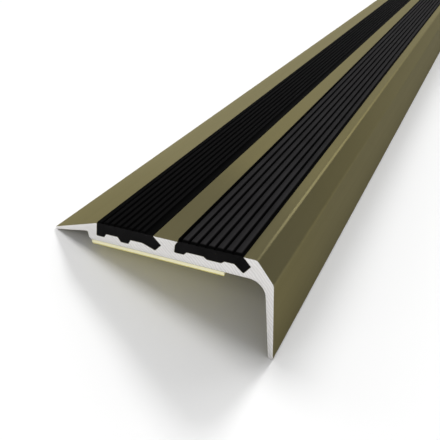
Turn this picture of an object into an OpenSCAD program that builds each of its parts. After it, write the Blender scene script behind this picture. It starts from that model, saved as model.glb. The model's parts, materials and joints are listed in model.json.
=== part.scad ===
// Stair nosing: an extruded aluminium angle with two ribbed anti-slip inserts and a self-adhesive underside.
// The section is drawn as it is installed: x runs from the rear tip to the face of the riser leg,
// y runs up from the underside of the tread leg. It is then leaned over until it rests on a level floor
// on its rear tip and on the toe of its riser leg, which is how the bar lies when nothing holds it.

/* [Bar] */
// Length of the cut bar
length = 1000; // [300:50:2700]
// Depth of the tread leg, from the rear tip to the face of the riser leg
tread_depth = 53; // [50:0.5:60]
// Height of the riser face, from the walking surface to the toe
riser_height = 24; // [16:0.5:45]
// Thickness of the tread leg
tread_t = 4.7; // [4.5:0.1:6]

/* [Riser leg and nose] */
// Thickness of the riser leg where it leaves the tread leg
riser_root_t = 1.9; // [1.5:0.1:3]
// Thickness of the riser leg at its toe
riser_toe_t = 1.2; // [0.9:0.1:1.4]
// Radius of the inside corner that sits on the edge of the step
inside_r = 3.5; // [1:0.25:5]
// Width of the walking surface between the front insert and the bevel
nose_land = 3; // [2.2:0.1:5]
// How far the bevel of the nose runs back along the walking surface
bevel_run = 3.4; // [2:0.1:4]
// How far the bevel of the nose drops down the riser face
bevel_drop = 5; // [3:0.25:7]
// Rounding between the walking surface and the bevel
nose_r = 1; // [0.3:0.1:1.5]
// Rounding between the bevel and the riser face
shin_r = 2; // [0.5:0.25:4]

/* [Rear ramp] */
// Width of the sloping ramp behind the rear insert
ramp_w = 12.2; // [11:0.1:14]
// Thickness of the ramp at its tip
tip_t = 0.75; // [0.7:0.05:1.2]
// How far the lower edge of the tip lies above the flat underside
tip_lift = 0.4; // [0:0.05:0.6]
// Distance from the rear edge of the flat underside to the rear insert
relief_gap = 3; // [2.4:0.1:5]
// Height of the relief under the ramp where it meets the flat underside
relief_h = 2; // [1.4:0.1:2.2]
// Chamfer along the rear edge of the flat underside
heel_chamfer = 0.6; // [0.3:0.05:0.7]

/* [Channels] */
// Width of the metal between the two channels
land_w = 5.8; // [5:0.1:7]
// How far the hooked leg of an insert reaches under the metal in front of its channel
hook_reach = 1.6; // [0.8:0.1:1.8]
// How far below the walking surface that reach is
hook_drop = 1.9; // [1.5:0.1:2.1]
// How far the metal between the channels reaches back over the rear insert
rear_lip = 0.25; // [0:0.05:0.4]

/* [Rear channel] */
// How far the rear wall is undercut at its foot
rear_undercut = 0.7; // [0.3:0.1:1]
// Width of the groove for the insert's heel, in front of the channel's edge
rear_heel_w = 1.3; // [0.8:0.1:1.8]
// Height of that groove above the underside
rear_heel_floor = 1.4; // [1:0.1:1.6]
// Height of the lands that carry the insert
rear_land_floor = 2.3; // [2:0.1:2.5]
// How far the middle foot of the insert lies behind the middle of the channel
rear_foot_shift = 0.5; // [0:0.1:0.8]
// Width of the middle foot
rear_foot_w = 1.9; // [1.2:0.1:2.4]
// Height of the groove for the middle foot
rear_foot_floor = 1.2; // [0.9:0.1:1.6]
// Width of the root of the hooked leg
rear_hook_root = 3; // [2.4:0.1:3.4]
// Height of the hooked leg's lowest corner
rear_hook_floor = 1.2; // [0.9:0.1:1.4]

/* [Front channel] */
// Thickness of the lip over the insert's heel
front_lip_t = 1; // [0.8:0.1:1.3]
// How far that lip reaches over the heel
front_lip_reach = 0.75; // [0.5:0.05:0.9]
// How far the rear wall is undercut at its foot
front_undercut = 1.1; // [1:0.05:1.3]
// Width of the groove for the insert's heel, in front of the channel's edge
front_heel_w = 1.1; // [0.8:0.1:1.8]
// Height of that groove above the underside
front_heel_floor = 1.9; // [1.4:0.1:2]
// Height of the lands that carry the insert
front_land_floor = 2.6; // [2.5:0.1:2.8]
// How far the middle foot of the insert lies in front of the middle of the channel
front_foot_shift = 0.8; // [0:0.1:1]
// Width of the middle foot
front_foot_w = 3.2; // [2.4:0.1:3.4]
// Height of the groove for the middle foot
front_foot_floor = 2.05; // [1.6:0.05:2.1]
// Width of the root of the hooked leg
front_hook_root = 1.9; // [1.7:0.1:2.2]
// Height of the hooked leg's lowest corner
front_hook_floor = 0.9; // [0.8:0.1:1.4]

/* [Inserts] */
// Side clearance between an insert and its channel
insert_gap = 0.05; // [0.02:0.01:0.1]
// Number of ribs on each insert
rib_count = 7; // [5:1:8]
// How far the ribs of the rear insert stand above the walking surface
rear_rib_rise = 0.45; // [0.4:0.05:0.8]
// How far the ribs of the front insert stand above the walking surface
front_rib_rise = 0.7; // [0.4:0.05:0.9]
// Width of the groove between two ribs
rib_groove_w = 0.5; // [0.4:0.05:0.7]
// How far each flank of a rib leans in
rib_draft = 0.1; // [0.05:0.01:0.15]
// Distance from the rear insert's back edge to its ribs
rear_border_back = 1.85; // [1.8:0.05:2.2]
// Width of the raised border along the rear insert's back edge
rear_border_w = 1.35; // [1:0.05:1.4]
// How far that border stands above the walking surface
rear_border_rise = 0.3; // [0.28:0.01:0.45]
// Distance from the rear insert's ribs to the edge of the metal in front
rear_border_front = 1.8; // [0.5:0.1:2.2]
// Distance from the front insert's back edge to its ribs
front_border_back = 0.95; // [0.9:0.05:1.4]
// Width of the raised border along the front insert's back edge
front_border_w = 0.5; // [0.5:0.01:0.55]
// How far that border stands above the walking surface
front_border_rise = 0.7; // [0.3:0.05:0.9]
// Distance from the front insert's ribs to the edge of the metal in front
front_border_front = 0.3; // [0.2:0.05:1]

/* [Adhesive] */
// Distance from the rear edge of the flat underside to the tape
tape_setback = 0.8; // [0.75:0.05:3]
// Width of the tape and of its liner
tape_w = 32.4; // [20:0.2:34]
// Thickness of the double-sided tape
tape_t = 0.75; // [0.3:0.05:1.5]
// Thickness of the release liner
liner_t = 0.2; // [0.1:0.05:0.5]

/* [Finish] */
// Colour of the anodised aluminium
bronze = "#8a8059";
// Colour of the soft inserts
black = "#1c1b1c";
// Colour of the adhesive tape
cream = "#f3edcb";
// Colour of the release liner
yellow = "#d9cf6f";

/* [Hidden] */

// Rounding of the bar's outer arrises, of a channel's corners, of its edges at the walking surface and of a rib
arris_r = 0.3;
seat_r = 0.2;
lip_r = 0.1;
rib_r = 0.14;
// Run of the slopes that join the grooves and lands of a channel floor
slope_run = 0.7;

channel_w = (tread_depth - ramp_w - land_w - nose_land - bevel_run) / 2;
rear_x = ramp_w;
front_x = rear_x + channel_w + land_w;
underside_x = rear_x - relief_gap;
tape_x = underside_x + tape_setback;
toe_y = tread_t - riser_height;

function unit(v) = v / norm(v);
function xy(p) = [p.x, p.y];

// Half the angle at corner p between its neighbours a and b
function half_angle(a, p, b) = acos(unit(a - p) * unit(b - p)) / 2;

// Centre of the circle of radius r that rounds corner p
function corner_centre(a, p, b, r) =
    p + unit(unit(a - p) + unit(b - p)) * r / sin(half_angle(a, p, b));

// Flat steps in which a corner of radius r is drawn
function corner_steps(r) = max(3, round(8 * sqrt(r)));

// Points of corner p rounded to radius r, from the side of a to the side of b
function corner(a, p, b, r) =
    let (
        centre = corner_centre(a, p, b, r),
        reach = r / tan(half_angle(a, p, b)),
        start = p + unit(a - p) * reach - centre,
        end = p + unit(b - p) * reach - centre,
        turn = atan2(cross(start, end), start * end),
        from = atan2(start.y, start.x),
        steps = corner_steps(r)
    )
    [for (i = [0:steps])
        let (angle = from + turn * i / steps)
        centre + r * [cos(angle), sin(angle)]];

// An outline given as [x, y, radius] corners, with every corner rounded
function rounded(corners) =
    let (n = len(corners))
    [for (i = [0:n - 1])
        let (p = corners[i], a = corners[(i + n - 1) % n], b = corners[(i + 1) % n])
        each corner(xy(a), xy(p), xy(b), p[2])];

// Floor and front wall of a channel whose rear edge is at x, from the heel groove to the front lip.
// A gap moves every wall into the channel and leaves the floors, so an insert stands on them.
function channel_floor(
    x, heel_w, heel_floor, land_floor, foot_mid, foot_w, foot_floor, hook_root, hook_floor, lip, gap) = [
    [x + heel_w - gap, heel_floor, seat_r],
    [x + heel_w + slope_run - gap, land_floor, seat_r],
    [foot_mid - foot_w / 2 - slope_run + gap, land_floor, seat_r],
    [foot_mid - foot_w / 2 + gap, foot_floor, seat_r],
    [foot_mid + foot_w / 2 - gap, foot_floor, seat_r],
    [foot_mid + foot_w / 2 + slope_run - gap, land_floor, seat_r],
    [x + channel_w - hook_root + gap, land_floor, seat_r],
    [x + channel_w, hook_floor + gap, seat_r],
    [x + channel_w + hook_reach - gap, tread_t - hook_drop, seat_r],
    [x + channel_w - lip - gap, tread_t, lip_r]
];

// The rear channel has a straight undercut wall behind the insert's heel
function rear_channel(gap = 0) = concat(
    [
        [rear_x + gap, tread_t, lip_r],
        [rear_x - rear_undercut + gap, rear_heel_floor, seat_r]
    ],
    channel_floor(
        rear_x, rear_heel_w, rear_heel_floor, rear_land_floor, rear_x + channel_w / 2 - rear_foot_shift,
        rear_foot_w, rear_foot_floor, rear_hook_root, rear_hook_floor, rear_lip, gap)
);

// The front channel has a lip over the insert's heel
function front_channel(gap = 0) = concat(
    [
        [front_x + gap, tread_t, lip_r],
        [front_x - front_lip_reach + gap, tread_t - front_lip_t, seat_r],
        [front_x - front_undercut + gap, front_heel_floor, seat_r]
    ],
    channel_floor(
        front_x, front_heel_w, front_heel_floor, front_land_floor, front_x + channel_w / 2 + front_foot_shift,
        front_foot_w, front_foot_floor, front_hook_root, front_hook_floor, 0, gap)
);

// A raised strip on an insert between x_back and x_front, from its front foot to its rear one
function raised(x_back, x_front, rise) = [
    [x_front, tread_t, rib_r],
    [x_front - rib_draft, tread_t + rise, rib_r],
    [x_back + rib_draft, tread_t + rise, rib_r],
    [x_back, tread_t, rib_r]
];

// The ribs of an insert between x_back and x_front, from the front one to the rear one
function ribs(x_back, x_front, rise) =
    let (pitch = (x_front - x_back + rib_groove_w) / rib_count)
    [for (i = [rib_count - 1:-1:0])
        let (x = x_back + i * pitch)
        each raised(x, x + pitch - rib_groove_w, rise)];

// The raised border of an insert, from its front foot to where it rises straight from the channel's edge at x
function back_border(x, width, rise) = [
    [x + width, tread_t, rib_r],
    [x + width - rib_draft, tread_t + rise, rib_r],
    [x + insert_gap, tread_t + rise, rib_r]
];

// The whole section of the extrusion: over the top from the rear tip, down the nose, and back underneath
profile_corners = concat(
    [[0, tip_lift + tip_t, arris_r]],
    rear_channel(),
    front_channel(),
    [
        [tread_depth - bevel_run, tread_t, nose_r],
        [tread_depth, tread_t - bevel_drop, shin_r],
        [tread_depth, toe_y, arris_r],
        [tread_depth - riser_toe_t, toe_y, arris_r],
        [tread_depth - riser_root_t, 0, inside_r],
        [underside_x + heel_chamfer, 0, lip_r],
        [underside_x, heel_chamfer, lip_r],
        [underside_x, relief_h, arris_r],
        [0, tip_lift, arris_r]
    ]
);
profile_outline = rounded(profile_corners);

// The bar rests on the rounded lower corners of its tip and toe, so it leans by the angle between their centres
corners_n = len(profile_corners);
function arris_centre(i) =
    corner_centre(
        xy(profile_corners[i - 1]), xy(profile_corners[i]), xy(profile_corners[(i + 1) % corners_n]), arris_r);
rest_line = arris_centre(corners_n - 6) - arris_centre(corners_n - 1);
lean = -atan2(rest_line.y, rest_line.x);
function leaned(p) = [p.x * cos(lean) - p.y * sin(lean), p.x * sin(lean) + p.y * cos(lean)];
leaned_xs = [for (p = profile_outline) leaned(p).x];
leaned_ys = [for (p = profile_outline) leaned(p).y];
rest_shift = [-(min(leaned_xs) + max(leaned_xs)) / 2, -min(leaned_ys)];

// Draws a section along the bar, leaned to its resting place over the middle of the floor
module bar() {
    rotate([90, 0, 0])
        linear_extrude(height = length, center = true)
            translate(rest_shift)
                rotate(lean)
                    children();
}

module profile() {
    color(bronze) bar() polygon(profile_outline);
}

module rear_insert() {
    outline = concat(
        rear_channel(insert_gap),
        ribs(rear_x + rear_border_back, rear_x + channel_w - rear_lip - rear_border_front, rear_rib_rise),
        back_border(rear_x, rear_border_w, rear_border_rise)
    );
    color(black) bar() polygon(rounded(outline));
}

module front_insert() {
    outline = concat(
        front_channel(insert_gap),
        ribs(front_x + front_border_back, front_x + channel_w - front_border_front, front_rib_rise),
        back_border(front_x, front_border_w, front_border_rise)
    );
    color(black) bar() polygon(rounded(outline));
}

// A flat strip of the tape's width, with its upper face at y
module strip(y, t) {
    bar() translate([tape_x, y - t]) square([tape_w, t]);
}

module adhesive_tape() {
    color(cream) strip(0, tape_t);
}

module release_liner() {
    color(yellow) strip(-tape_t, liner_t);
}

profile();
rear_insert();
front_insert();
adhesive_tape();
release_liner();
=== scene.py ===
"""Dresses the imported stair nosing: swept pieces with worked ends, procedural finishes, light and camera."""

import collections
import itertools
import json
import math

import bmesh
import bpy
from mathutils import Matrix, Vector


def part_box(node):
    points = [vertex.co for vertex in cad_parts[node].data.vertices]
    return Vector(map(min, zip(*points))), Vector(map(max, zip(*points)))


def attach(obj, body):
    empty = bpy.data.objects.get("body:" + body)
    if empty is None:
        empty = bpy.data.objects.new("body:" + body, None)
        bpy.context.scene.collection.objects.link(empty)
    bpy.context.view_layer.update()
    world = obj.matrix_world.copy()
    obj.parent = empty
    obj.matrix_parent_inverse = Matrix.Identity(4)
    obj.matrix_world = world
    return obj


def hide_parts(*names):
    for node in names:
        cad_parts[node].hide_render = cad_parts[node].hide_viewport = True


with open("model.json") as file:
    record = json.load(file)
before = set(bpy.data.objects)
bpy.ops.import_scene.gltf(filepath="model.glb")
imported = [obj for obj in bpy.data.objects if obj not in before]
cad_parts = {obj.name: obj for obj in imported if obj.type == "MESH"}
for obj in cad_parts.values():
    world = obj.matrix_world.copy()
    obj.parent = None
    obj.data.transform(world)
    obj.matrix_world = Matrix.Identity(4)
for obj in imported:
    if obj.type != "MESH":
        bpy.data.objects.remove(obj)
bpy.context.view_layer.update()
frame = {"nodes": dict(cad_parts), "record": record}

bl_info = {
    "name": "Stair nosing",
    "version": (1, 0, 0),
    "blender": (4, 5, 0),
    "location": "View3D > Sidebar > Nosing",
    "description": "Builds the pieces, finishes and studio of an aluminium stair nosing with ribbed inserts",
    "category": "Object",
}

# The solids' own box
BAR_LOW, BAR_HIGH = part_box("profile")
BAR_LENGTH = BAR_HIGH[1] - BAR_LOW[1]

# Directions of the tread, read from the face that the tape is stuck with
ADHESIVE_FACE = next(m for m in frame["record"]["mounts"] if m["name"] == "adhesive_face")
TREAD_UP = -Vector(ADHESIVE_FACE["axis"])
ALONG_BAR = Vector((0.0, 1.0, 0.0))
TREAD_FORWARD = ALONG_BAR.cross(TREAD_UP)

MM = 0.001


def from_srgb(red, green, blue):
    """A colour given as 0 to 255 screen values, as the linear value that Blender's shaders use."""
    channels = []
    for value in (red, green, blue):
        part = value / 255.0
        linear = part / 12.92 if part <= 0.04045 else ((part + 0.055) / 1.055) ** 2.4
        channels.append(linear)
    return tuple(channels)


# Settings

class NosingSizes(bpy.types.PropertyGroup):
    """Sizes that are worked into the pieces after the extrusion."""

    arris: bpy.props.FloatProperty(
        name="Deburred arris",
        description="Radius of the deburred edges round the sawn ends of the metal",
        default=0.06 * MM, unit="LENGTH", precision=6)
    rib_run_out: bpy.props.FloatProperty(
        name="Rib run-out",
        description="Length over which the ribs round down at the cut ends of an insert",
        default=0.5 * MM, unit="LENGTH", precision=6)
    rib_drop: bpy.props.FloatProperty(
        name="Rib drop",
        description="Share of their height that the ribs lose at the cut ends of an insert",
        default=0.85, subtype="FACTOR", min=0.0, max=0.95)
    tape_waver: bpy.props.FloatProperty(
        name="Tape waver",
        description="How far the long edges of the tape wander to either side",
        default=0.12 * MM, unit="LENGTH", precision=6)
    liner_waver: bpy.props.FloatProperty(
        name="Liner waver",
        description="How far the long edges of the liner wander to either side",
        default=0.08 * MM, unit="LENGTH", precision=6)


class NosingColours(bpy.types.PropertyGroup):
    """Colours of the finishes."""

    bronze: bpy.props.FloatVectorProperty(
        name="Bronze", description="Anodised long faces of the metal",
        default=from_srgb(119, 113, 83), subtype="COLOR", min=0.0, max=1.0)
    bronze_edge: bpy.props.FloatVectorProperty(
        name="Bronze edge", description="Tint of what the anodised faces mirror at a flat angle",
        default=(0.53, 0.5, 0.41), subtype="COLOR", min=0.0, max=1.0)
    bare_metal: bpy.props.FloatVectorProperty(
        name="Bare metal", description="Sawn ends of the metal",
        default=from_srgb(241, 239, 237), subtype="COLOR", min=0.0, max=1.0)
    insert_black: bpy.props.FloatVectorProperty(
        name="Insert black", description="Soft plastic of the inserts",
        default=from_srgb(5, 5, 5), subtype="COLOR", min=0.0, max=1.0)
    insert_cut: bpy.props.FloatVectorProperty(
        name="Insert cut", description="Soft plastic where it is cut to length",
        default=from_srgb(22, 21, 22), subtype="COLOR", min=0.0, max=1.0)
    # Grey of the rib tops: partly dust and wear, partly a painted highlight
    rib_wear_and_highlight: bpy.props.FloatVectorProperty(
        name="Rib bloom", description="Greyed tops of the ribs",
        default=from_srgb(44, 43, 44), subtype="COLOR", min=0.0, max=1.0)
    tape_cream: bpy.props.FloatVectorProperty(
        name="Tape cream", description="Foam of the adhesive tape",
        default=from_srgb(255, 250, 210), subtype="COLOR", min=0.0, max=1.0)
    liner_yellow: bpy.props.FloatVectorProperty(
        name="Liner yellow", description="Coated paper of the release liner",
        default=from_srgb(224, 212, 112), subtype="COLOR", min=0.0, max=1.0)
    floor_white: bpy.props.FloatVectorProperty(
        name="Floor white", description="Studio floor",
        default=(0.95, 0.95, 0.95), subtype="COLOR", min=0.0, max=1.0)


class NosingStage(bpy.types.PropertyGroup):
    """Camera and light."""

    camera_place: bpy.props.FloatVectorProperty(
        name="Camera", description="Where the camera stands",
        default=(0.026357, -0.578400, 0.087023), subtype="TRANSLATION", unit="LENGTH", precision=6)
    camera_look: bpy.props.FloatVectorProperty(
        name="Look", description="Direction that the camera looks in",
        default=(-0.190320, 0.772590, -0.605706), subtype="DIRECTION", precision=6)
    camera_roll: bpy.props.FloatProperty(
        name="Roll", description="Turn of the camera about the direction that it looks in",
        default=math.radians(21.091), subtype="ANGLE")
    lens: bpy.props.FloatProperty(
        name="Lens", description="Focal length in millimetres on a 36 mm wide sensor", default=44.27)
    sky_level: bpy.props.FloatProperty(
        name="Sky level", description="Even light from all round", default=0.28)


# Section outlines

# Distance within which two points are one, and within which a point lies on the end of the bar
SAME_POINT = 0.0001 * MM
SAME_END = 0.001 * MM

# A flat longer than the first length gets a point this close to each end, so that it shades as a flat
FLAT_LENGTH = 0.4 * MM
FLAT_MARGIN = 0.03 * MM


def with_margins(points):
    """The same outline, with a point close to both ends of every flat."""
    result = []
    for point, following in zip(points, points[1:] + points[:1]):
        run = following - point
        result.append(point)
        if run.length > FLAT_LENGTH:
            step = run.normalized() * FLAT_MARGIN
            result.append(point + step)
            result.append(following - step)
    return result


def outline_of(node_name):
    """The closed outline of a CAD node's near end, as points in the XZ plane, ordered round the section."""
    work = bmesh.new()
    work.from_mesh(frame["nodes"][node_name].data)
    bmesh.ops.remove_doubles(work, verts=work.verts, dist=SAME_POINT)
    near = min(v.co.y for v in work.verts)
    cap = {f for f in work.faces if all(abs(v.co.y - near) < SAME_END for v in f.verts)}
    rim = [e for e in work.edges if sum(f in cap for f in e.link_faces) == 1]
    neighbours = {}
    for edge in rim:
        first, second = edge.verts
        neighbours.setdefault(first, []).append(second)
        neighbours.setdefault(second, []).append(first)
    start = rim[0].verts[0]
    loop = [start]
    previous = None
    current = start
    while True:
        step = next(v for v in neighbours[current] if v is not previous)
        if step is start:
            break
        loop.append(step)
        previous = current
        current = step
    points = [Vector((v.co.x, 0.0, v.co.z)) for v in loop]
    work.free()
    area = sum(a.x * b.z - b.x * a.z for a, b in zip(points, points[1:] + points[:1]))
    if area < 0.0:
        points.reverse()
    return with_margins(points)


def inward_directions(points):
    """For each outline point, the offset that moves the outline inwards by one unit."""
    count = len(points)
    result = []
    for i, point in enumerate(points):
        before = (point - points[i - 1]).normalized()
        after = (points[(i + 1) % count] - point).normalized()
        normal_before = Vector((-before.z, 0.0, before.x))
        normal_after = Vector((-after.z, 0.0, after.x))
        result.append((normal_before + normal_after) / (1.0 + normal_before.dot(normal_after)))
    return result


def section_object(name, points, lifts, wear_and_highlights):
    """A mesh of the outline's edges that carries what the sweep needs to know about each point."""
    count = len(points)
    mesh = bpy.data.meshes.new(name)
    mesh.from_pydata(points, [(i, (i + 1) % count) for i in range(count)], [])
    mesh.attributes.new("section", "FLOAT_VECTOR", "POINT")
    mesh.attributes.new("inward", "FLOAT_VECTOR", "POINT")
    mesh.attributes.new("lift", "FLOAT", "POINT")
    mesh.attributes.new("wear_and_highlight", "FLOAT", "POINT")
    section = mesh.attributes["section"]
    inward = mesh.attributes["inward"]
    lift = mesh.attributes["lift"]
    wear_and_highlight = mesh.attributes["wear_and_highlight"]
    for i, direction in enumerate(inward_directions(points)):
        section.data[i].vector = points[i]
        inward.data[i].vector = direction
        lift.data[i].value = lifts[i]
        wear_and_highlight.data[i].value = wear_and_highlights[i]
    obj = bpy.data.objects.new(name, mesh)
    bpy.context.scene.collection.objects.link(obj)
    return obj


# Geometry nodes

class Tree:
    """Short ways to place nodes in a node tree and join them."""

    def __init__(self, graph):
        self.graph = graph

    def node(self, kind, **settings):
        """A new node with the given settings."""
        made = self.graph.nodes.new(kind)
        for key, value in settings.items():
            setattr(made, key, value)
        return made

    def put(self, socket, value):
        """Links an input to another node's output, or sets it to a plain value."""
        if isinstance(value, bpy.types.NodeSocket):
            self.graph.links.new(value, socket)
        else:
            socket.default_value = value

    def math(self, operation, first, second=None, clamp=False):
        """The result of a sum with one or two numbers."""
        made = self.node("ShaderNodeMath", operation=operation, use_clamp=clamp)
        self.put(made.inputs[0], first)
        if second is not None:
            self.put(made.inputs[1], second)
        return made.outputs[0]

    def vector(self, operation, first, second=None, scale=None):
        """The result of a sum with one or two vectors, or with a vector and a number."""
        made = self.node("ShaderNodeVectorMath", operation=operation)
        self.put(made.inputs[0], first)
        if second is not None:
            self.put(made.inputs[1], second)
        if scale is not None:
            self.put(made.inputs["Scale"], scale)
        return made.outputs["Vector"]

    def attribute(self, name, data_type):
        """What is stored on the geometry under a name."""
        made = self.node("GeometryNodeInputNamedAttribute", data_type=data_type)
        made.inputs["Name"].default_value = name
        return next(s for s in made.outputs if s.name == "Attribute" and s.enabled)

    def store(self, geometry, name, value):
        """The geometry with a number stored on its points under a name."""
        made = self.node("GeometryNodeStoreNamedAttribute", data_type="FLOAT", domain="POINT")
        self.put(made.inputs["Geometry"], geometry)
        made.inputs["Name"].default_value = name
        self.put(next(s for s in made.inputs if s.name == "Value" and s.enabled), value)
        return made.outputs["Geometry"]


SWEEP_INPUTS = (
    ("Length", "NodeSocketFloat"),
    ("End Run", "NodeSocketFloat"),
    ("End Steps", "NodeSocketInt"),
    ("Middle Steps", "NodeSocketInt"),
    ("Inset", "NodeSocketFloat"),
    ("Top Drop", "NodeSocketFloat"),
    ("Tread Up", "NodeSocketVector"),
    ("Tread Forward", "NodeSocketVector"),
    ("Waver", "NodeSocketFloat"),
    ("Waver Length", "NodeSocketFloat"),
    ("Seed", "NodeSocketFloat"),
    ("Long Faces", "NodeSocketMaterial"),
    ("Cut Ends", "NodeSocketMaterial"),
)

# How fast the grey of the rib tops fades where they round down at the cut ends, leaving them black as painted
# shade
WEAR_AND_HIGHLIGHT_FADE = 5.0

# Depth of the layer at each end of the bar in which a face counts as cut
END_DEPTH = 0.002 * MM


def sweep_tree():
    """Sweeps a section outline along the bar, with rounded ends and edges that may wander."""
    group = bpy.data.node_groups.new("Swept bar", "GeometryNodeTree")
    group.interface.new_socket("Section", in_out="INPUT", socket_type="NodeSocketGeometry")
    for name, kind in SWEEP_INPUTS:
        group.interface.new_socket(name, in_out="INPUT", socket_type=kind)
    group.interface.new_socket("Bar", in_out="OUTPUT", socket_type="NodeSocketGeometry")
    tree = Tree(group)
    given = tree.node("NodeGroupInput").outputs

    # Stations along the bar: crowded over the end run, even in the middle
    ends = tree.math("MULTIPLY", given["End Steps"], 2)
    last = tree.math("ADD", ends, given["Middle Steps"])
    index = tree.node("GeometryNodeInputIndex").outputs[0]
    from_far = tree.math("SUBTRACT", last, index)
    nearest = tree.math("MINIMUM", index, from_far)
    in_run = tree.math("MINIMUM", nearest, given["End Steps"])
    angle = tree.math("MULTIPLY", tree.math("DIVIDE", in_run, given["End Steps"]), math.pi / 2)
    run_part = tree.math("MULTIPLY", given["End Run"], tree.math("SUBTRACT", 1.0, tree.math("COSINE", angle)))
    middle_length = tree.math("SUBTRACT", given["Length"], tree.math("MULTIPLY", given["End Run"], 2.0))
    middle_step = tree.math("DIVIDE", middle_length, given["Middle Steps"])
    past_run = tree.math("MAXIMUM", tree.math("SUBTRACT", nearest, given["End Steps"]), 0.0)
    from_end = tree.math("ADD", run_part, tree.math("MULTIPLY", past_run, middle_step))
    half = tree.math("MULTIPLY", given["Length"], 0.5)
    on_far_half = tree.math("GREATER_THAN", index, from_far)
    side = tree.math("SUBTRACT", tree.math("MULTIPLY", on_far_half, 2.0), 1.0)
    along = tree.math("MULTIPLY", side, tree.math("SUBTRACT", half, from_end))
    ease = tree.math("SUBTRACT", 1.0, tree.math("SINE", angle))

    line = tree.node("GeometryNodeMeshLine", mode="OFFSET")
    tree.put(line.inputs["Count"], tree.math("ADD", last, 1))
    line.inputs["Offset"].default_value = ALONG_BAR * MM
    stations = tree.store(line.outputs[0], "along", along)
    stations = tree.store(stations, "ease", ease)
    path = tree.node("GeometryNodeMeshToCurve")
    tree.put(path.inputs["Mesh"], stations)
    ring = tree.node("GeometryNodeMeshToCurve")
    tree.put(ring.inputs["Mesh"], given["Section"])
    swept = tree.node("GeometryNodeCurveToMesh")
    tree.put(swept.inputs["Curve"], path.outputs[0])
    tree.put(swept.inputs["Profile Curve"], ring.outputs[0])
    swept.inputs["Fill Caps"].default_value = True

    # Every point takes its own place in the section and its station's place along the bar
    section = tree.attribute("section", "FLOAT_VECTOR")
    inward = tree.attribute("inward", "FLOAT_VECTOR")
    lift = tree.attribute("lift", "FLOAT")
    placed_along = tree.attribute("along", "FLOAT")
    placed_ease = tree.attribute("ease", "FLOAT")
    lengthwise = tree.node("ShaderNodeCombineXYZ")
    tree.put(lengthwise.inputs["Y"], placed_along)
    place = tree.vector("ADD", section, lengthwise.outputs[0])
    inset = tree.math("MULTIPLY", given["Inset"], placed_ease)
    place = tree.vector("ADD", place, tree.vector("SCALE", inward, scale=inset))
    drop = tree.math("MULTIPLY", tree.math("MULTIPLY", given["Top Drop"], placed_ease), lift)
    place = tree.vector("SUBTRACT", place, tree.vector("SCALE", given["Tread Up"], scale=drop))

    # The long edges wander with a noise that differs from one edge to the other
    edge_key = tree.node("ShaderNodeVectorMath", operation="DOT_PRODUCT")
    tree.put(edge_key.inputs[0], section)
    tree.put(edge_key.inputs[1], given["Tread Forward"])
    spot = tree.node("ShaderNodeCombineXYZ")
    tree.put(spot.inputs["X"], tree.math("MULTIPLY", edge_key.outputs["Value"], 1.0 / MM))
    tree.put(spot.inputs["Y"], tree.math("DIVIDE", placed_along, given["Waver Length"]))
    tree.put(spot.inputs["Z"], given["Seed"])
    noise = tree.node("ShaderNodeTexNoise")
    noise.inputs["Scale"].default_value = 1.0
    noise.inputs["Detail"].default_value = 2.0
    tree.put(noise.inputs["Vector"], spot.outputs[0])
    to_side = tree.math("SUBTRACT", noise.outputs[0], 0.5)
    sway = tree.math("MULTIPLY", to_side, tree.math("MULTIPLY", given["Waver"], 2.0))
    place = tree.vector("ADD", place, tree.vector("SCALE", given["Tread Forward"], scale=sway))

    # The grey of the rib tops stops where they begin to round down; the black left there is painted shade
    before_rounding = tree.math("SUBTRACT", 1.0, tree.math("MULTIPLY", placed_ease, WEAR_AND_HIGHLIGHT_FADE), clamp=True)
    left = tree.math("MULTIPLY", tree.attribute("wear_and_highlight", "FLOAT"), before_rounding)
    with_wear_and_highlight = tree.store(swept.outputs[0], "wear_and_highlight", left)
    moved = tree.node("GeometryNodeSetPosition")
    tree.put(moved.inputs["Geometry"], with_wear_and_highlight)
    tree.put(moved.inputs["Position"], place)

    # The flat ends are told from the long faces by where they lie
    where = tree.node("ShaderNodeSeparateXYZ")
    tree.put(where.inputs[0], tree.node("GeometryNodeInputPosition").outputs[0])
    reach = tree.math("ABSOLUTE", where.outputs["Y"])
    at_end = tree.math("GREATER_THAN", reach, tree.math("SUBTRACT", half, END_DEPTH))
    smooth = tree.node("GeometryNodeSetShadeSmooth")
    tree.put(smooth.inputs[0], moved.outputs[0])
    solid = tree.node("GeometryNodeRealizeInstances")
    tree.put(solid.inputs[0], smooth.outputs[0])
    long_faces = tree.node("GeometryNodeSetMaterial")
    tree.put(long_faces.inputs["Geometry"], solid.outputs[0])
    tree.put(long_faces.inputs["Material"], given["Long Faces"])
    cut_ends = tree.node("GeometryNodeSetMaterial")
    tree.put(cut_ends.inputs["Geometry"], long_faces.outputs[0])
    tree.put(cut_ends.inputs["Selection"], at_end)
    tree.put(cut_ends.inputs["Material"], given["Cut Ends"])
    tree.put(tree.node("NodeGroupOutput").inputs[0], cut_ends.outputs[0])
    return group


SHARP_ANGLE = math.radians(33.0)
HELPER_ATTRIBUTES = ("section", "inward", "lift", "along", "ease")


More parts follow.
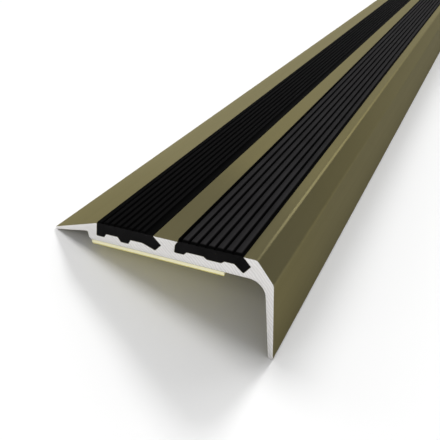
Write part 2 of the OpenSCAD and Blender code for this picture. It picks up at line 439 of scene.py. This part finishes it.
def sweep_piece(name, node_name, values, lifts=None, wear_and_highlights=None):
    """Makes one swept piece from a CAD node's own outline and puts it in that node's place."""
    points = outline_of(node_name)
    flat = [0.0] * len(points)
    piece = section_object(name, points, lifts or flat, wear_and_highlights or flat)
    group = bpy.data.node_groups.get("Swept bar") or sweep_tree()
    modifier = piece.modifiers.new("Swept bar", "NODES")
    modifier.node_group = group
    settings = {
        "Length": BAR_LENGTH, "End Run": 0.1 * MM, "End Steps": 3, "Middle Steps": 40, "Inset": 0.0,
        "Top Drop": 0.0, "Tread Up": TREAD_UP, "Tread Forward": TREAD_FORWARD, "Waver": 0.0,
        "Waver Length": 15.0 * MM, "Seed": 1.0,
    }
    settings.update(values)
    identifiers = {s.name: s.identifier for s in group.interface.items_tree if s.in_out == "INPUT"}
    for key, value in settings.items():
        modifier[identifiers[key]] = value
    depsgraph = bpy.context.evaluated_depsgraph_get()
    mesh = bpy.data.meshes.new_from_object(piece.evaluated_get(depsgraph))
    piece.modifiers.remove(modifier)
    outline = piece.data
    piece.data = mesh
    bpy.data.meshes.remove(outline)
    mesh.name = name
    for helper in HELPER_ATTRIBUTES:
        stored = mesh.attributes.get(helper)
        if stored:
            mesh.attributes.remove(stored)
    work = bmesh.new()
    work.from_mesh(mesh)
    bmesh.ops.recalc_face_normals(work, faces=work.faces)
    work.to_mesh(mesh)
    work.free()
    mesh.set_sharp_from_angle(angle=SHARP_ANGLE)
    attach(piece, "root")
    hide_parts(node_name)
    return piece


# Shader groups

# How often the parts of the patterns change in a metre
TONE_BANDS = 180.0
SAW_WANDER = 420.0
SAW_DEPTHS = 800.0
SMEARS = 520.0
FOAM_CELLS = 5200.0

# Where the saw's axle stood, and how far apart the marks of the saw and of the knife lie
SAW_CENTRE = (-0.06, 0.0, -0.107)
SAW_PITCH = 0.62 * MM
KNIFE_PITCH = 0.3 * MM

# How far the marks stray from true arcs, and how much they darken the sawn metal
SAW_STRAY = 2.0 * SAW_PITCH
STREAK_DEPTH = 1.0

# The part of a noise's range that most of its values lie in
NOISE_MIDDLE = (0.25, 0.75)


def shader_group(name, inputs, outputs):
    """An empty shader group with float inputs and outputs, and a vector input for the place."""
    group = bpy.data.node_groups.new(name, "ShaderNodeTree")
    group.interface.new_socket("Place", in_out="INPUT", socket_type="NodeSocketVector")
    for label, default in inputs:
        socket = group.interface.new_socket(label, in_out="INPUT", socket_type="NodeSocketFloat")
        socket.default_value = default
    for label in outputs:
        group.interface.new_socket(label, in_out="OUTPUT", socket_type="NodeSocketFloat")
    tree = Tree(group)
    return tree, tree.node("NodeGroupInput").outputs, tree.node("NodeGroupOutput").inputs


def noise_value(tree, place, scale, detail, roughness=0.5):
    """A noise from 0 to 1 at the given place."""
    noise = tree.node("ShaderNodeTexNoise")
    tree.put(noise.inputs["Vector"], place)
    tree.put(noise.inputs["Scale"], scale)
    noise.inputs["Detail"].default_value = detail
    noise.inputs["Roughness"].default_value = roughness
    return noise.outputs[0]


def drawn_lines_group():
    """Fine lines along the bar, as the die leaves them, and a slow change of tone across it."""
    inputs = (("Lines Per Metre", 2600.0), ("Stretch", 0.004))
    tree, given, out = shader_group("Drawn lines", inputs, ("Lines", "Tone"))
    squeeze = tree.node("ShaderNodeCombineXYZ")
    squeeze.inputs["X"].default_value = 1.0
    squeeze.inputs["Z"].default_value = 1.0
    tree.put(squeeze.inputs["Y"], given["Stretch"])
    stretched = tree.vector("MULTIPLY", given["Place"], squeeze.outputs[0])
    lines = noise_value(tree, stretched, given["Lines Per Metre"], detail=4.0, roughness=0.65)
    tree.put(out["Lines"], lines)
    tree.put(out["Tone"], noise_value(tree, stretched, TONE_BANDS, detail=2.0))
    return tree.graph


def grain_group():
    """A fine even grain, and a coarse mottling of the same surface."""
    inputs = (("Grains Per Metre", 9000.0), ("Patches Per Metre", 60.0))
    tree, given, out = shader_group("Grain", inputs, ("Grain", "Mottle"))
    grain = noise_value(tree, given["Place"], given["Grains Per Metre"], detail=3.0, roughness=0.6)
    tree.put(out["Grain"], grain)
    tree.put(out["Mottle"], noise_value(tree, given["Place"], given["Patches Per Metre"], detail=3.0))
    return tree.graph


def saw_marks_group():
    """Arcs that a circular saw leaves across a cut end, with uneven depth."""
    inputs = (("Marks Per Metre", 1.0 / SAW_PITCH),)
    tree, given, out = shader_group("Saw marks", inputs, ("Marks", "Smear"))
    flat = tree.vector("MULTIPLY", given["Place"], (1.0, 0.0, 1.0))
    offset = tree.vector("SUBTRACT", flat, SAW_CENTRE)
    length = tree.node("ShaderNodeVectorMath", operation="LENGTH")
    tree.put(length.inputs[0], offset)
    wander = noise_value(tree, flat, SAW_WANDER, detail=2.0)
    radius = tree.math("ADD", length.outputs["Value"], tree.math("MULTIPLY", wander, SAW_STRAY))
    turns = tree.math("MULTIPLY", radius, given["Marks Per Metre"])
    phase = tree.math("MULTIPLY", turns, 2.0 * math.pi)
    wave = tree.math("ADD", tree.math("MULTIPLY", tree.math("SINE", phase), 0.5), 0.5)
    ring_key = tree.node("ShaderNodeCombineXYZ")
    tree.put(ring_key.inputs["X"], radius)
    uneven = noise_value(tree, ring_key.outputs[0], SAW_DEPTHS, detail=3.0)
    tree.put(out["Marks"], tree.math("MULTIPLY", wave, uneven))
    tree.put(out["Smear"], noise_value(tree, flat, SMEARS, detail=4.0, roughness=0.6))
    return tree.graph


# Finishes

def eased(tree, value, start, end, low, high):
    """A value that runs softly from low to high as the given one runs from start to end."""
    made = tree.node("ShaderNodeMapRange", interpolation_type="SMOOTHSTEP")
    tree.put(made.inputs["Value"], value)
    for label, number in (("From Min", start), ("From Max", end), ("To Min", low), ("To Max", high)):
        made.inputs[label].default_value = number
    return made.outputs["Result"]


class Finish:
    """A material with one Principled shader, its object coordinates and short ways to feed it."""

    def __init__(self, name):
        self.material = bpy.data.materials.new(name)
        self.material.use_nodes = True
        self.tree = Tree(self.material.node_tree)
        nodes = self.material.node_tree.nodes
        self.shader = next(n for n in nodes if n.type == "BSDF_PRINCIPLED")
        self.place = self.tree.node("ShaderNodeTexCoord").outputs["Object"]

    def group(self, name, maker, **values):
        """The outputs of a shader group, with some of its inputs set."""
        made = self.tree.node("ShaderNodeGroup")
        made.node_tree = bpy.data.node_groups.get(name) or maker()
        self.tree.put(made.inputs["Place"], self.place)
        for label, value in values.items():
            self.tree.put(made.inputs[label.replace("_", " ").title()], value)
        return made.outputs

    def mixed(self, share, first, second):
        """A colour between two others."""
        made = self.tree.node("ShaderNodeMix", data_type="RGBA")
        self.tree.put(made.inputs["Factor"], share)
        sockets = [s for s in made.inputs if s.type == "RGBA"]
        for socket, colour in zip(sockets, (first, second)):
            is_linked = isinstance(colour, bpy.types.NodeSocket)
            self.tree.put(socket, colour if is_linked else (*colour, 1.0))
        return next(s for s in made.outputs if s.type == "RGBA")

    def spread(self, value, low=0.0, high=1.0):
        """A value that runs from low to high as the given one runs over the middle of its range."""
        made = self.tree.node("ShaderNodeMapRange")
        self.tree.put(made.inputs["Value"], value)
        made.inputs["From Min"].default_value = NOISE_MIDDLE[0]
        made.inputs["From Max"].default_value = NOISE_MIDDLE[1]
        made.inputs["To Min"].default_value = low
        made.inputs["To Max"].default_value = high
        return made.outputs["Result"]

    def summed(self, first, second, shares):
        """The sum of two values, each times its share."""
        first_part = self.tree.math("MULTIPLY", first, shares[0])
        second_part = self.tree.math("MULTIPLY", second, shares[1])
        return self.tree.math("ADD", first_part, second_part)

    def bump(self, height, strength, distance):
        """Raises the surface by a height of 0 to 1."""
        made = self.tree.node("ShaderNodeBump")
        made.inputs["Strength"].default_value = strength
        made.inputs["Distance"].default_value = distance
        self.tree.put(made.inputs["Height"], height)
        self.tree.put(self.shader.inputs["Normal"], made.outputs["Normal"])

    def feed(self, **values):
        """Sets or links inputs of the shader."""
        for label, value in values.items():
            title = label.replace("_", " ").title().replace("Ior", "IOR")
            self.tree.put(self.shader.inputs[title], value)


def shade(colour, factor):
    """A colour made darker or lighter."""
    return tuple(min(1.0, part * factor) for part in colour)


# How much of the bronze mirrors its surroundings, seen squarely and at a low angle, where its satin layer
# scatters more. One gives way to the other between two slants, where 0 is square on and 1 is edge on.
MIRROR_SHARE = 0.6
LOW_MIRROR_SHARE = 0.15
LOW_ANGLES = (0.55, 0.85)


def bronze_finish(colours):
    """Satin anodised aluminium with die lines along the bar."""
    look = Finish("bronze_anodised")
    lines = look.group("Drawn lines", drawn_lines_group)
    grain = look.group("Grain", grain_group, grains_per_metre=14000.0, patches_per_metre=35.0)
    dark = shade(colours.bronze, factor=0.93)
    light = shade(colours.bronze, factor=1.07)
    cloud = shade(colours.bronze, factor=0.9)
    tone = look.mixed(look.spread(lines["Tone"]), dark, light)
    cloudy = look.mixed(look.spread(grain["Mottle"], high=0.35), tone, cloud)
    fine = look.summed(lines["Lines"], grain["Grain"], shares=(0.7, 0.3))
    slant = look.tree.node("ShaderNodeLayerWeight").outputs["Facing"]
    mirror = eased(look.tree, slant, *LOW_ANGLES, MIRROR_SHARE, LOW_MIRROR_SHARE)
    look.feed(
        base_color=cloudy, metallic=mirror, roughness=look.spread(fine, low=0.26, high=0.36),
        specular_ior_level=0.0, specular_tint=(*colours.bronze_edge, 1.0))
    look.bump(fine, strength=0.12, distance=0.02 * MM)
    return look.material


def sawn_finish(colours):
    """Bare aluminium where the bar was sawn off."""
    look = Finish("sawn_aluminium")
    marks = look.group("Saw marks", saw_marks_group)
    grain = look.group("Grain", grain_group, grains_per_metre=7000.0, patches_per_metre=400.0)
    dull = shade(colours.bare_metal, factor=0.95)
    streak = shade(colours.bare_metal, factor=0.72)
    base = look.mixed(look.spread(marks["Smear"]), dull, colours.bare_metal)
    streaked = look.mixed(look.tree.math("MULTIPLY", marks["Marks"], STREAK_DEPTH), base, streak)
    height = look.summed(marks["Marks"], grain["Grain"], shares=(1.0, 0.4))
    look.feed(base_color=streaked, metallic=0.45, roughness=look.spread(marks["Smear"], low=0.42, high=0.58))
    look.bump(height, strength=0.25, distance=0.03 * MM)
    return look.material


def insert_finish(colours):
    """Soft black plastic, a little greyed on the tops of the ribs, partly as dust and wear and partly as a
    painted highlight.
    """
    look = Finish("soft_black_insert")
    grain = look.group("Grain", grain_group, grains_per_metre=11000.0, patches_per_metre=140.0)
    lines = look.group("Drawn lines", drawn_lines_group, lines_per_metre=5200.0, stretch=0.01)
    # The stored grey of the rib tops is partly dust and wear and partly a painted highlight, with painted
    # shade down the flanks
    stored = look.tree.node("ShaderNodeAttribute", attribute_name="wear_and_highlight").outputs["Fac"]
    patchy = look.spread(grain["Mottle"], low=0.75)
    wear_and_highlight = look.tree.math("MULTIPLY", stored, patchy, clamp=True)
    base = look.mixed(wear_and_highlight, colours.insert_black, colours.rib_wear_and_highlight)
    fine = look.summed(grain["Grain"], lines["Lines"], shares=(0.6, 0.4))
    look.feed(base_color=base, roughness=look.spread(fine, low=0.62, high=0.76), specular_ior_level=0.012)
    look.bump(fine, strength=0.2, distance=0.03 * MM)
    return look.material


def cut_insert_finish(colours):
    """The same plastic where a knife has cut it, with the blade's drag across the face."""
    look = Finish("cut_black_insert")
    marks = look.group("Saw marks", saw_marks_group, marks_per_metre=1.0 / KNIFE_PITCH)
    grain = look.group("Grain", grain_group, grains_per_metre=6000.0, patches_per_metre=190.0)
    base = look.mixed(look.spread(grain["Mottle"]), colours.insert_black, colours.insert_cut)
    height = look.summed(marks["Marks"], grain["Grain"], shares=(1.0, 0.3))
    rough = look.spread(marks["Smear"], low=0.45, high=0.6)
    look.feed(base_color=base, roughness=rough, specular_ior_level=0.04)
    look.bump(height, strength=0.2, distance=0.02 * MM)
    return look.material


def tape_finish(colours):
    """Cream foam tape with an open, fine-celled edge, with painted shade in the cell pits."""
    look = Finish("foam_tape")
    grain = look.group("Grain", grain_group, grains_per_metre=5200.0, patches_per_metre=90.0)
    cells = look.tree.node("ShaderNodeTexVoronoi")
    look.tree.put(cells.inputs["Vector"], look.place)
    cells.inputs["Scale"].default_value = FOAM_CELLS
    middle = cells.outputs["Distance"]
    dull = shade(colours.tape_cream, factor=0.94)
    pit_shade = shade(colours.tape_cream, factor=0.78)
    warm = look.mixed(look.spread(grain["Mottle"]), dull, colours.tape_cream)
    # The cell pits, which the bump sets lowest, are painted darker as painted shade in them
    pit_shaded = look.mixed(look.spread(middle, low=0.25, high=0.0), warm, pit_shade)
    height = look.summed(middle, grain["Grain"], shares=(1.0, 0.5))
    look.feed(base_color=pit_shaded, roughness=look.spread(grain["Grain"], low=0.7, high=0.85))
    look.bump(height, strength=0.3, distance=0.04 * MM)
    return look.material


def liner_finish(colours):
    """Yellow coated release paper with short fibres and a slight gloss."""
    look = Finish("release_liner")
    fibres = look.group("Drawn lines", drawn_lines_group, lines_per_metre=3600.0, stretch=0.35)
    grain = look.group("Grain", grain_group, grains_per_metre=6000.0, patches_per_metre=45.0)
    dull = shade(colours.liner_yellow, factor=0.93)
    fibre = shade(colours.liner_yellow, factor=0.82)
    warm = look.mixed(look.spread(grain["Mottle"]), dull, colours.liner_yellow)
    fibred = look.mixed(look.spread(fibres["Lines"], high=0.4), warm, fibre)
    height = look.summed(grain["Mottle"], fibres["Lines"], shares=(0.6, 0.4))
    look.feed(base_color=fibred, roughness=look.spread(grain["Grain"], low=0.34, high=0.46), coat_weight=0.2)
    look.bump(height, strength=0.15, distance=0.05 * MM)
    return look.material


# Pieces

# Height of the walking surface along the tread's upward direction
LAND_HEIGHT = max(TREAD_UP.dot(p) for p in outline_of("profile"))

# Width of the plain raised border along the back edge of each insert, and the grey of its rib tops
BORDER_WIDTH = {"rear_insert": 1.6 * MM, "front_insert": 0.7 * MM}
# That grey is partly dust and wear and partly a painted highlight on the tops
WEAR_AND_HIGHLIGHT = {"rear_insert": 0.1, "front_insert": 1.0}

# Share of that grey at the back of a rib: the top is painted darker at its back and lighter at its front, as
# painted shading of a rounded top
BACK_SHADE_SHARE = 0.55


def rib_heights(points):
    """How far each point of an insert's outline stands above the walking surface, or 0 where it doesn't."""
    return [max(0.0, TREAD_UP.dot(p) - LAND_HEIGHT) for p in points]


def rib_wear_and_highlights(points, border, level):
    """How grey each point of an insert's outline is: rib tops are, partly as wear and partly as a painted
    highlight, fading to black down their flanks as painted shade; the border isn't.
    """
    heights = rib_heights(points)
    rise = max(heights)
    forward = [TREAD_FORWARD.dot(p) for p in points]
    lowest = heights.index(min(heights))
    order = [(lowest + i) % len(points) for i in range(len(points))]
    tops = [list(run) for high, run in itertools.groupby(order, lambda i: heights[i] > rise / 2.0) if high]
    back_edge = min(forward[i] for top in tops for i in top)
    wear_and_highlights = [0.0] * len(points)
    for top in tops:
        back = min(forward[i] for i in top)
        front = max(forward[i] for i in top)
        for i in top:
            if forward[i] > back_edge + border:
                # Painted shading across the rib top, lightest at its front, and painted shade down its flanks
                # into the grooves
                lit_share = BACK_SHADE_SHARE + (1.0 - BACK_SHADE_SHARE) * (forward[i] - back) / (front - back)
                wear_and_highlights[i] = level * lit_share * (2.0 * heights[i] / rise - 1.0)
    return wear_and_highlights


class NOSING_OT_metal(bpy.types.Operator):
    """Make the extruded bar with its sawn ends"""

    bl_idname = "nosing.metal"
    bl_label = "Metal bar"

    def execute(self, context):
        sizes = context.scene.nosing_sizes
        colours = context.scene.nosing_colours
        sweep_piece("metal_bar", "profile", {
            "End Run": sizes.arris, "Inset": sizes.arris, "Middle Steps": 24,
            "Long Faces": bronze_finish(colours), "Cut Ends": sawn_finish(colours)})
        return {"FINISHED"}


class NOSING_OT_inserts(bpy.types.Operator):
    """Make the two ribbed inserts"""

    bl_idname = "nosing.inserts"
    bl_label = "Ribbed inserts"

    def execute(self, context):
        sizes = context.scene.nosing_sizes
        black = insert_finish(context.scene.nosing_colours)
        cut_black = cut_insert_finish(context.scene.nosing_colours)
        for name, border in BORDER_WIDTH.items():
            points = outline_of(name)
            heights = rib_heights(points)
            rise = max(heights)
            lifts = [height / rise for height in heights]
            sweep_piece(name + "_strip", name, {
                "End Run": sizes.rib_run_out, "Top Drop": sizes.rib_drop * rise, "End Steps": 6,
                "Long Faces": black, "Cut Ends": cut_black},
                lifts, rib_wear_and_highlights(points, border, WEAR_AND_HIGHLIGHT[name]))
        return {"FINISHED"}


class NOSING_OT_adhesive(bpy.types.Operator):
    """Make the tape under the tread leg and its liner"""

    bl_idname = "nosing.adhesive"
    bl_label = "Tape and liner"

    def execute(self, context):
        sizes = context.scene.nosing_sizes
        colours = context.scene.nosing_colours
        foam = tape_finish(colours)
        paper = liner_finish(colours)
        sweep_piece("foam_tape", "adhesive_tape", {
            "Waver": sizes.tape_waver, "Waver Length": 9.0 * MM, "Seed": 3.0, "Middle Steps": 400,
            "Long Faces": foam, "Cut Ends": foam})
        sweep_piece("liner_sheet", "release_liner", {
            "Waver": sizes.liner_waver, "Waver Length": 22.0 * MM, "Seed": 7.0, "Middle Steps": 400,
            "Long Faces": paper, "Cut Ends": paper})
        return {"FINISHED"}


# Stage

# Radius of the round floor and the number of its sides
FLOOR_REACH = 12.0
FLOOR_SIDES = 96

# Lamps: where each shines from, the brightness that it gives a white floor, and how wide it is in degrees
Lamp = collections.namedtuple("Lamp", "source level width")
LAMPS = {
    "back_lamp": Lamp(source=(-0.15, 0.74, 0.6), level=0.25, width=12.0),
    "left_lamp": Lamp(source=(-0.6, 0.15, 0.76), level=0.28, width=24.0),
}

# Softboxes: azimuth from +Y towards +X, elevation and half width as seen from the near end, in degrees,
# and how bright their face is, where 1 is white
Softbox = collections.namedtuple("Softbox", "azimuth elevation half_width level")
SOFTBOXES = {
    "rear_softbox": Softbox(azimuth=-25.0, elevation=15.0, half_width=8.0, level=1.2),
    "nose_softbox": Softbox(azimuth=5.0, elevation=34.0, half_width=19.0, level=2.2),
    "left_softbox": Softbox(azimuth=-80.0, elevation=20.0, half_width=18.0, level=2.0),
    "front_softbox": Softbox(azimuth=-155.0, elevation=25.0, half_width=20.0, level=1.7),
}
SOFTBOX_DISTANCE = 8.0
NEAR_END = Vector((0.0, BAR_LOW[1], 0.0))

# Brightness of the surroundings where they meet the floor, and the rise, as the upward part of a direction,
# over which they fall to the even level
HORIZON_LEVEL = 0.95
HORIZON_RISE = (0.02, 0.2)


def add_floor(colour):
    """A plain pale floor at the height that the bar rests on."""
    mesh = bpy.data.meshes.new("studio_floor")
    work = bmesh.new()
    bmesh.ops.create_circle(work, cap_ends=True, segments=FLOOR_SIDES, radius=FLOOR_REACH)
    work.to_mesh(mesh)
    work.free()
    floor = bpy.data.objects.new("studio_floor", mesh)
    bpy.context.scene.collection.objects.link(floor)
    look = Finish("studio_floor")
    grain = look.group("Grain", grain_group, grains_per_metre=900.0, patches_per_metre=2.0)
    tint = look.mixed(look.spread(grain["Mottle"]), shade(colour, factor=0.995), colour)
    look.feed(base_color=tint, roughness=1.0, specular_ior_level=0.0)
    mesh.materials.append(look.material)


def add_sun(name, lamp):
    """A soft distant lamp that shows in no reflection."""
    direction = Vector(lamp.source).normalized()
    data = bpy.data.lights.new(name, "SUN")
    data.energy = lamp.level * math.pi / direction.z
    data.angle = math.radians(lamp.width)
    sun = bpy.data.objects.new(name, data)
    sun.rotation_euler = direction.to_track_quat("Z", "Y").to_euler()
    sun.visible_glossy = False
    bpy.context.scene.collection.objects.link(sun)


def add_softbox(name, box):
    """A round soft panel that lights the bar and shows in its metal, but not in the picture."""
    turn = math.radians(box.azimuth)
    rise = math.radians(box.elevation)
    sideways = math.cos(rise)
    direction = Vector((math.sin(turn) * sideways, math.cos(turn) * sideways, math.sin(rise)))
    radius = SOFTBOX_DISTANCE * math.tan(math.radians(box.half_width))
    data = bpy.data.lights.new(name, "AREA")
    data.shape = "DISK"
    data.size = 2.0 * radius
    data.energy = box.level * math.pi * (math.pi * radius ** 2)
    panel = bpy.data.objects.new(name, data)
    panel.location = NEAR_END + direction * SOFTBOX_DISTANCE
    panel.rotation_euler = direction.to_track_quat("Z", "Y").to_euler()
    panel.visible_camera = False
    bpy.context.scene.collection.objects.link(panel)


def add_world(sky_level):
    """Even pale surroundings that are nearly white where they meet the floor."""
    world = bpy.data.worlds.new("studio")
    world.use_nodes = True
    bpy.context.scene.world = world
    tree = Tree(world.node_tree)
    sky = next(n for n in world.node_tree.nodes if n.type == "BACKGROUND")
    parts = tree.node("ShaderNodeSeparateXYZ")
    tree.put(parts.inputs[0], tree.node("ShaderNodeTexCoord").outputs["Generated"])
    tree.put(sky.inputs["Color"], eased(tree, parts.outputs["Z"], *HORIZON_RISE, HORIZON_LEVEL, sky_level))
    sky.inputs["Strength"].default_value = 1.0


def add_camera(stage):
    """The camera, rolled as far as the bar leans."""
    data = bpy.data.cameras.new("photo_camera")
    data.sensor_width = 36.0
    data.lens = stage.lens
    data.clip_start = 0.005
    data.clip_end = 100.0
    camera = bpy.data.objects.new("photo_camera", data)
    turn = Vector(stage.camera_look).to_track_quat("-Z", "Y").to_matrix().to_4x4()
    roll = Matrix.Rotation(stage.camera_roll, 4, "Z")
    camera.matrix_world = Matrix.Translation(Vector(stage.camera_place)) @ turn @ roll
    bpy.context.scene.collection.objects.link(camera)
    bpy.context.scene.camera = camera


class NOSING_OT_stage(bpy.types.Operator):
    """Make the floor, the lamps, the softboxes, the surroundings and the camera"""

    bl_idname = "nosing.stage"
    bl_label = "Studio"

    def execute(self, context):
        stage = context.scene.nosing_stage
        add_floor(context.scene.nosing_colours.floor_white)
        for name, lamp in LAMPS.items():
            add_sun(name, lamp)
        for name, box in SOFTBOXES.items():
            add_softbox(name, box)
        add_world(stage.sky_level)
        add_camera(stage)
        context.scene.view_settings.view_transform = "Standard"
        return {"FINISHED"}


class NOSING_PT_panel(bpy.types.Panel):
    """Settings and steps of the stair nosing"""

    bl_label = "Stair nosing"
    bl_idname = "NOSING_PT_panel"
    bl_space_type = "VIEW_3D"
    bl_region_type = "UI"
    bl_category = "Nosing"

    def draw(self, context):
        for group in (context.scene.nosing_sizes, context.scene.nosing_colours, context.scene.nosing_stage):
            for name in group.__annotations__:
                self.layout.prop(group, name)
        for step in STEPS:
            self.layout.operator(step.bl_idname)


STEPS = (NOSING_OT_metal, NOSING_OT_inserts, NOSING_OT_adhesive, NOSING_OT_stage)
CLASSES = (NosingSizes, NosingColours, NosingStage, *STEPS, NOSING_PT_panel)


def register():
    for cls in CLASSES:
        bpy.utils.register_class(cls)
    bpy.types.Scene.nosing_sizes = bpy.props.PointerProperty(type=NosingSizes)
    bpy.types.Scene.nosing_colours = bpy.props.PointerProperty(type=NosingColours)
    bpy.types.Scene.nosing_stage = bpy.props.PointerProperty(type=NosingStage)


def unregister():
    del bpy.types.Scene.nosing_stage
    del bpy.types.Scene.nosing_colours
    del bpy.types.Scene.nosing_sizes
    for cls in reversed(CLASSES):
        bpy.utils.unregister_class(cls)


def main():
    register()
    bpy.ops.nosing.metal()
    bpy.ops.nosing.inserts()
    bpy.ops.nosing.adhesive()
    bpy.ops.nosing.stage()


if __name__ == "__main__":
    main()
